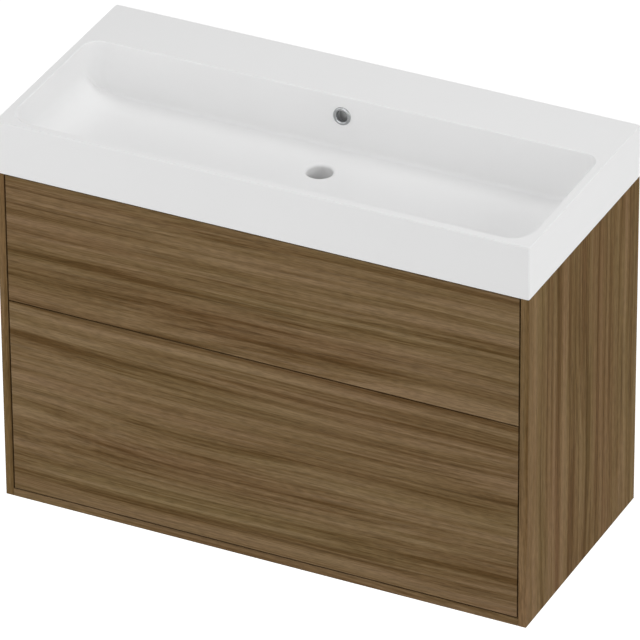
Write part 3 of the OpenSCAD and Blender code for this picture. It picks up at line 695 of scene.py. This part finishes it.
def ring_loft_tree():
    """Skin over rings: each ring is a rounded rectangle that may turn into a circle."""
    tree, given = new_tree("ring_loft", {
        "Compass": "NodeSocketObject", "Rings": "NodeSocketInt", "Points": "NodeSocketInt",
        "Drain": "NodeSocketVector", "Top": "NodeSocketFloat", "Material": "NodeSocketMaterial"})

    # The grid numbers its points up each column, and its last column lies on its first
    columns = add(tree, "ShaderNodeMath", {1: 1}, {0: given["Points"]}, operation="ADD")
    grid = add(tree, "GeometryNodeMeshGrid", {"Size X": 1.0, "Size Y": 1.0}, {
        "Vertices X": columns.outputs[0], "Vertices Y": given["Rings"]})
    index = add(tree, "GeometryNodeInputIndex").outputs[0]
    column = add(tree, "FunctionNodeIntegerMath", operation="DIVIDE_FLOOR", links={
        0: index, 1: given["Rings"]}).outputs[0]
    point = add(tree, "FunctionNodeIntegerMath", operation="MODULO", links={
        0: column, 1: given["Points"]}).outputs[0]
    ring = add(tree, "FunctionNodeIntegerMath", operation="MODULO", links={
        0: index, 1: given["Rings"]}).outputs[0]
    compass = add(tree, "GeometryNodeObjectInfo", links={"Object": given["Compass"]})
    corner = sampled(tree, compass.outputs["Geometry"], "corner", point)
    heading = sampled(tree, compass.outputs["Geometry"], "heading", point)
    reach = sampled(tree, given["Geometry"], "reach", ring)
    corners = sampled(tree, given["Geometry"], "corners", ring)
    deep = sampled(tree, given["Geometry"], "deep", ring)

    # Rounded rectangle: the middle of the corner that a point belongs to, and a radius from it
    backness = add(tree, "ShaderNodeMapRange", {"From Min": -1.0}, {
        "Value": corner[1]}).outputs[0]
    radius = add(tree, "ShaderNodeMix", links={
        0: backness, 2: corners[0], 3: corners[1]}).outputs[0]
    inner_x = add(tree, "ShaderNodeMath", operation="SUBTRACT", links={0: reach[0], 1: radius})
    front_y = add(tree, "ShaderNodeMath", operation="ADD", links={0: reach[1], 1: corners[0]})
    back_y = add(tree, "ShaderNodeMath", operation="SUBTRACT", links={0: reach[2], 1: corners[1]})
    middle_x = add(tree, "ShaderNodeMath", operation="MULTIPLY", links={
        0: corner[0], 1: inner_x.outputs[0]})
    middle_y = add(tree, "ShaderNodeMix", links={
        0: backness, 2: front_y.outputs[0], 3: back_y.outputs[0]})
    flat_x = add(tree, "ShaderNodeMath", operation="MULTIPLY_ADD", links={
        0: radius, 1: heading[0], 2: middle_x.outputs[0]})
    flat_y = add(tree, "ShaderNodeMath", operation="MULTIPLY_ADD", links={
        0: radius, 1: heading[1], 2: middle_y.outputs[0]})
    flat = add(tree, "ShaderNodeCombineXYZ", links={
        0: flat_x.outputs[0], 1: flat_y.outputs[0]}).outputs[0]

    # Circle: the same heading from the drain
    away = add(tree, "ShaderNodeVectorMath", operation="SUBTRACT", links={
        0: flat, 1: given["Drain"]})
    ray = add(tree, "ShaderNodeVectorMath", operation="NORMALIZE", links={0: away.outputs[0]})
    spoke = add(tree, "ShaderNodeVectorMath", operation="SCALE", links={
        0: ray.outputs[0], "Scale": corners[2]})
    circle = add(tree, "ShaderNodeVectorMath", operation="ADD", links={
        0: given["Drain"], 1: spoke.outputs[0]})
    level = add(tree, "ShaderNodeMix", data_type="VECTOR", links={
        0: deep[2], 4: flat, 5: circle.outputs[0]}).outputs[1]

    # Depth: the back's for the points that face the back wall, else the sides'
    at_back = add(tree, "ShaderNodeMapRange", interpolation_type="SMOOTHSTEP", links={
        "Value": heading[1]})
    depth = add(tree, "ShaderNodeMix", links={
        0: at_back.outputs[0], 2: deep[0], 3: deep[1]}).outputs[0]
    height = add(tree, "ShaderNodeMath", operation="SUBTRACT", links={
        0: given["Top"], 1: depth})
    lift = add(tree, "ShaderNodeCombineXYZ", links={2: height.outputs[0]})
    place = add(tree, "ShaderNodeVectorMath", operation="ADD", links={
        0: level, 1: lift.outputs[0]})
    shaped = add(tree, "GeometryNodeSetPosition", links={
        "Geometry": grid.outputs["Mesh"], "Position": place.outputs[0]})
    welded = add(tree, "GeometryNodeMergeByDistance", {"Distance": WELD}, {
        "Geometry": shaped.outputs[0]})
    end_tree(tree, welded.outputs[0], given["Material"])
    return tree


def face_outwards(piece):
    """Turns a piece's faces outwards."""
    shell = merged_shell(piece.data)
    bmesh.ops.recalc_face_normals(shell, faces=shell.faces)
    shell.to_mesh(piece.data)
    shell.free()


def prism(name, outline, low, high):
    """A straight-sided block on an outline of X and Y."""
    shell = bmesh.new()
    base = shell.faces.new([shell.verts.new((x, y, low)) for x, y in outline])
    raised = bmesh.ops.extrude_face_region(shell, geom=[base])["geom"]
    tops = [v for v in raised if isinstance(v, bmesh.types.BMVert)]
    bmesh.ops.translate(shell, verts=tops, vec=(0, 0, high - low))
    bmesh.ops.recalc_face_normals(shell, faces=shell.faces)
    return link_piece(name, shell, ceramic)


def combine(piece, other, operation):
    """Joins or cuts a piece with another one, which is used up."""
    modifier = piece.modifiers.new(operation, "BOOLEAN")
    modifier.object = other
    modifier.operation = operation
    modifier.solver = "EXACT"
    bake_modifiers(piece)
    bpy.data.objects.remove(other)


# Overflow: a hole that leans with the back wall, and a duct from it down to the bore
OVER_DEPTH = 37*MM
OVER_R = 12*MM
DUCT_W = 26*MM
DUCT_D = 12*MM
DUCT_GAP = 4*MM
DUCT_WALL = 7*MM
# The hole ends this far from the duct's back
OVER_END = 3*MM
CHANNEL_LOW = BORE_LOW - 5*MM
CHANNEL_TOP = CHANNEL_LOW - 7*MM
# A step between the faces of blocks that cut or join, so that no two of them coincide
PAST = 1*MM
BAR_STEPS = 64
over_face = Vector((0, -LEDGE - wall_inset(OVER_DEPTH), RIM_Z - OVER_DEPTH))
over_frame = Matrix.Translation(over_face) @ Matrix.Rotation(-math.atan(BOWL_DRAFT), 4, "X")
duct_front = -LEDGE + DUCT_GAP
duct_back = duct_front + DUCT_D
half_duct = DUCT_W/2
half_housing = half_duct + DUCT_WALL
housing_back = duct_back + DUCT_WALL


def round_bar(name, place, length, radius):
    """A closed bar along the Z of its place, half of it on either side."""
    shell = bmesh.new()
    bmesh.ops.create_cone(shell, cap_ends=True, segments=BAR_STEPS, radius1=radius,
                          radius2=radius, depth=length)
    bmesh.ops.transform(shell, matrix=place, verts=shell.verts)
    return link_piece(name, shell, ceramic)


def loft_basin():
    """The basin as a closed skin over its rings, with its bowl and bore."""
    rings = basin_rings()
    compass = point_cloud("compass", dict(zip(("corner", "heading"), zip(*compass_points()))))
    basin = point_cloud("glazed_basin", {
        label: [ring[label] for ring in rings] for label in ("reach", "corners", "deep")})
    grow(basin, ring_loft_tree(), {
        "Compass": compass, "Rings": len(rings), "Points": 4*(CORNER_STEPS + SIDE_STEPS),
        "Drain": (0.0, DRAIN_Y, 0.0), "Top": RIM_Z, "Material": ceramic})
    bpy.data.objects.remove(compass)
    face_outwards(basin)
    return basin


def add_duct_housing(basin):
    """The duct's thick walls: one part below the bowl's floor and one behind its back wall."""
    wall_foot = -LEDGE - wall_inset(BOWL_DEPTH) - BACK_COVE/4
    housing_low = RIM_Z - BORE_LOW + PAST
    under_floor = corner_points(-half_housing, DRAIN_Y, half_housing, wall_foot)
    behind_wall = corner_points(-half_housing, wall_foot - PAST, half_housing, housing_back)
    foot = prism("duct_foot", under_floor, housing_low, RIM_Z - BOWL_LOW - CLAY/2)
    # The foot ends within the boss, so that the bore stays open
    bore_place = Matrix.Translation((0, DRAIN_Y, RIM_Z - BORE_TOP))
    combine(foot, round_bar("bore_room", bore_place, 4*BORE_L, (DRAIN_R + BOSS_R)/2),
            "DIFFERENCE")
    combine(basin, foot, "UNION")
    combine(basin, prism("duct_housing", behind_wall, housing_low,
                         RIM_Z - APRON_H + PAST), "UNION")


def hollow_ledge(basin):
    """The open hollow under the ledge, round the duct's housing."""
    side, front, back = HALF_W - RIM, -LEDGE + CLAY, -CLAY
    outline = [(-side, front), (-half_housing, front), (-half_housing, housing_back),
               (half_housing, housing_back), (half_housing, front), (side, front),
               (side, back), (-side, back)]
    combine(basin, prism("ledge_hollow", outline, RIM_Z - APRON_H - PAST, RIM_Z - CLAY),
            "DIFFERENCE")


def cut_overflow(basin):
    """The overflow's way: its hole, the duct down from it and the channel to the bore."""
    duct = prism("duct", corner_points(-half_duct, duct_front, half_duct, duct_back),
                 RIM_Z - CHANNEL_LOW, RIM_Z - OVER_DEPTH + OVER_R)
    combine(duct, prism("channel", corner_points(-half_duct, DRAIN_Y, half_duct, duct_back),
                        RIM_Z - CHANNEL_LOW, RIM_Z - CHANNEL_TOP), "UNION")
    way_start, way_end = -PAST, duct_back - OVER_END - over_face.y
    way_place = (over_frame @ Matrix.Translation((0, (way_start + way_end)/2, 0))
                 @ Matrix.Rotation(-math.pi/2, 4, "X"))
    combine(duct, round_bar("overflow_way", way_place, way_end - way_start, OVER_R), "UNION")
    combine(basin, duct, "DIFFERENCE")


def make_basin():
    """The glazed basin in one piece."""
    basin = loft_basin()
    add_duct_housing(basin)
    hollow_ledge(basin)
    cut_overflow(basin)
    paint(basin, ceramic)
    shade_with_creases(basin)
    dress(basin, "cabinet", "glazed_ceramic", "basin")


make_basin()


def turned(name, profile, steps, place, material):
    """A body turned from a closed profile of radii and heights about the Z of its place."""
    shell = bmesh.new()
    loops = []
    for i in range(steps):
        a = 2*math.pi*i/steps
        loops.append([shell.verts.new((r*math.cos(a), r*math.sin(a), h)) for r, h in profile])
    for i, loop in enumerate(loops):
        following = loops[(i + 1) % steps]
        for j, (radius, _) in enumerate(profile):
            k = (j + 1) % len(profile)
            if radius or profile[k][0]:
                shell.faces.new([loop[j], loop[k], following[k], following[j]])
    bmesh.ops.remove_doubles(shell, verts=shell.verts, dist=WELD)
    bmesh.ops.recalc_face_normals(shell, faces=shell.faces)
    bmesh.ops.transform(shell, matrix=place, verts=shell.verts)
    return link_piece(name, shell, material)


# Overflow ring: a turned collar on a sleeve
RING_R = 16.5*MM
RING_BORE = 10.3*MM
RING_T = 3*MM
SLEEVE_R = OVER_R - 0.3*MM
SLEEVE_L = 8*MM
RING_STEPS = 96
CROWN_STEPS = 16
# Under 1 makes the collar's crown fuller than half an ellipse
CROWN_POWER = 0.7


def collar_profile():
    """Radius and height out of the wall, from the sleeve's end round the collar."""
    middle = (RING_R + RING_BORE)/2
    half = (RING_R - RING_BORE)/2
    angles = [math.pi*i/CROWN_STEPS for i in range(1, CROWN_STEPS)]
    crown = [(middle + half*math.cos(a), RING_T*math.sin(a)**CROWN_POWER) for a in angles]
    return [(SLEEVE_R, -SLEEVE_L), (SLEEVE_R, 0), (RING_R, 0), *crown,
            (RING_BORE, 0), (RING_BORE, -SLEEVE_L)]


def make_overflow_ring():
    """The collar's profile turned about the overflow's middle."""
    facing = over_frame @ Matrix.Rotation(math.pi/2, 4, "X")
    collar = turned("overflow_collar", collar_profile(), RING_STEPS, facing, bright_chrome)
    shade_with_creases(collar)
    dress(collar, "cabinet", "chrome", "overflow_ring")


make_overflow_ring()


# Screws: a turned form with a cross recess, set by a tree on points that carry their headings
HEAD_R = 4.2*MM
HEAD_T = 1.4*MM
HEAD_RIM = 0.5*MM
SHANK_R = 2.1*MM
SHANK_TIP = 2*MM
TIP_R = SHANK_R/4
RUNNER_SHANK = 11.5*MM
BRACKET_SHANK = 1.9*MM
CROSS_L = 4.6*MM
CROSS_W = 0.9*MM
CROSS_DEEP = 0.9*MM
BRACKET_T = 2*MM
# Places of a bracket's holes, from its corner and from its ends
HOLE_IN = 13*MM
HOLE_EDGE = 10*MM
SCREW_STEPS = 32
DOME_STEPS = 6
TURN_SEED = 7


def screw_form(name, shank, tip, tip_r):
    """A pan-head screw whose head stands on Z = 0 and whose tip narrows to a radius."""
    dome = [(HEAD_R*math.sin(a), HEAD_RIM + (HEAD_T - HEAD_RIM)*math.cos(a))
            for a in quarter(DOME_STEPS)]
    form = turned(name, [*dome, (HEAD_R, 0), (SHANK_R, 0), (SHANK_R, tip - shank),
                         (tip_r, -shank), (0, -shank)], SCREW_STEPS, Matrix(), zinc)
    long, thin = CROSS_L/2, CROSS_W/2
    arm = [(long, -thin), (long, thin), (thin, thin)]
    cross = []
    for _ in range(4):
        cross.extend(arm)
        arm = [(-y, x) for x, y in arm]
    combine(form, prism("cross", cross, HEAD_T - CROSS_DEEP, 2*HEAD_T), "DIFFERENCE")
    paint(form, zinc)
    return form


def screw_tree():
    """Sets a screw on each point of a cloud, along the heading that the point carries and
    turned about it by a random share of a quarter."""
    tree, given = new_tree("set_screws", {
        "Screw": "NodeSocketObject", "Turn": "NodeSocketFloat", "Seed": "NodeSocketInt",
        "Material": "NodeSocketMaterial"})
    place = add(tree, "GeometryNodeInputNamedAttribute", {"Name": "place"},
                data_type="FLOAT_VECTOR")
    heading = add(tree, "GeometryNodeInputNamedAttribute", {"Name": "heading"},
                  data_type="FLOAT_VECTOR")
    spots = add(tree, "GeometryNodeSetPosition", links={
        "Geometry": given["Geometry"], "Position": place.outputs[0]})
    aim = add(tree, "FunctionNodeAlignRotationToVector", axis="Z", links={
        "Vector": heading.outputs[0]})
    screw = add(tree, "GeometryNodeObjectInfo", links={"Object": given["Screw"]})
    stood = add(tree, "GeometryNodeInstanceOnPoints", links={
        "Points": spots.outputs[0], "Instance": screw.outputs["Geometry"],
        "Rotation": aim.outputs[0]})
    chance = add(tree, "FunctionNodeRandomValue", data_type="FLOAT", links={
        3: given["Turn"], "Seed": given["Seed"]})
    twist = add(tree, "ShaderNodeCombineXYZ", links={2: chance.outputs[1]})
    spin = add(tree, "FunctionNodeEulerToRotation", links={0: twist.outputs[0]})
    spun = add(tree, "GeometryNodeRotateInstances", links={
        "Instances": stood.outputs[0], "Rotation": spin.outputs[0]})
    end_tree(tree, spun.outputs[0], given["Material"])
    return tree


def solid_boxes(node):
    """The low and high corner of each separate solid of a node."""
    shell = merged_shell(nodes[node].data)
    boxes, waiting = [], set(shell.verts)
    while waiting:
        front, places = [waiting.pop()], []
        while front:
            vert = front.pop()
            places.append(vert.co.copy())
            linked = {edge.other_vert(vert) for edge in vert.link_edges} & waiting
            waiting -= linked
            front.extend(linked)
        boxes.append((Vector(map(min, zip(*places))), Vector(map(max, zip(*places)))))
    shell.free()
    return sorted(boxes, key=lambda box: tuple(box[0]))


def runner_spots():
    """Where the runners' screws stand on their sections, and their headings."""
    spots = []
    for low, high in solid_boxes("runner_screws"):
        middle = (low + high)/2
        side = 1 if middle.x > 0 else -1
        head_top = low.x if side > 0 else high.x
        spots.append(((head_top + side*HEAD_T, middle.y, middle.z), (-side, 0, 0)))
    return spots


def bracket_spots(node):
    """Where screws stand in the holes of a drawer's angle brackets, and their headings."""
    spots = []
    for low, high in solid_boxes(node):
        side = 1 if low.x > 0 else -1
        corner = high.x if side > 0 else low.x
        for z in (low.z + HOLE_EDGE, high.z - HOLE_EDGE):
            spots.append(((corner - side*HOLE_IN, low.y + BRACKET_T, z), (0, 1, 0)))
            spots.append(((corner - side*BRACKET_T, low.y + HOLE_IN, z), (-side, 0, 0)))
    return spots


def set_screws(name, tree, form, spots, like, *stood_for):
    """A set of screws that moves with a node and has its finish."""
    places, headings = zip(*spots)
    screws = point_cloud(name, {"place": places, "heading": headings})
    grow(screws, tree, {"Screw": form, "Turn": math.pi/2, "Seed": TURN_SEED, "Material": zinc})
    shade_with_creases(screws)
    dress(screws, body_of_node[like], slot_of_node[like], *stood_for)


def make_screws():
    """The screws of the runners and of the fronts' brackets."""
    tree = screw_tree()
    pointed = screw_form("pointed_screw", RUNNER_SHANK, SHANK_TIP, TIP_R)
    short = screw_form("short_screw", BRACKET_SHANK, 0, SHANK_R)
    set_screws("runner_screw_set", tree, pointed, runner_spots(), "runner_screws",
               "runner_screws")
    for node in ("upper_front_brackets", "lower_front_brackets"):
        set_screws(node + "_screws", tree, short, bracket_spots(node), node)
    bpy.data.objects.remove(pointed)
    bpy.data.objects.remove(short)


make_screws()


# Boards and sheet parts, with their sharp edges eased
BOARD_EASE = 0.6*MM
SHEET_EASE = 0.25*MM
SHARP_ANGLE = math.radians(50)
EASE_STEPS = 2
# Edges shorter than this many easings stay as they are
SHORT_EDGE = 4
EASED = {
    BOARD_EASE: [
        "left_side_panel", "right_side_panel", "bottom_panel", "top_back_rail",
        "bottom_back_rail", "front_rail", "upper_front", "lower_front",
        "upper_side_left", "upper_side_right", "upper_backs", "upper_bottom",
        "upper_cutout_walls", "lower_side_left", "lower_side_right", "lower_back",
        "lower_bottom"],
    SHEET_EASE: [
        "hanger_housings", "hanger_hooks", "wall_plates", "upper_latch_housings",
        "lower_latch_housings", "upper_runner_clips", "lower_runner_clips",
        "upper_front_brackets", "lower_front_brackets"],
}


def ease_edges(node, ease):
    """A copy of a node whose straight edges are rounded by a small radius."""
    shell = merged_shell(nodes[node].data)
    bmesh.ops.dissolve_limit(shell, angle_limit=FLAT_ANGLE, verts=shell.verts,
                             edges=shell.edges)
    sharp = [e for e in shell.edges if len(e.link_faces) == 2
             and e.calc_face_angle() > SHARP_ANGLE and e.calc_length() > SHORT_EDGE*ease]
    bmesh.ops.bevel(shell, geom=sharp, offset=ease, segments=EASE_STEPS, profile=0.5,
                    affect="EDGES", clamp_overlap=True)
    piece = link_piece(node + "_eased", shell, material_of(node))
    shade_with_creases(piece)
    dress(piece, body_of_node[node], slot_of_node[node], node)


for ease, names in EASED.items():
    for name in names:
        ease_edges(name, ease)

# The nodes that no piece stands for keep the CAD's shape
for name, node in nodes.items():
    if not node.hide_render:
        paint(node, material_of(name))
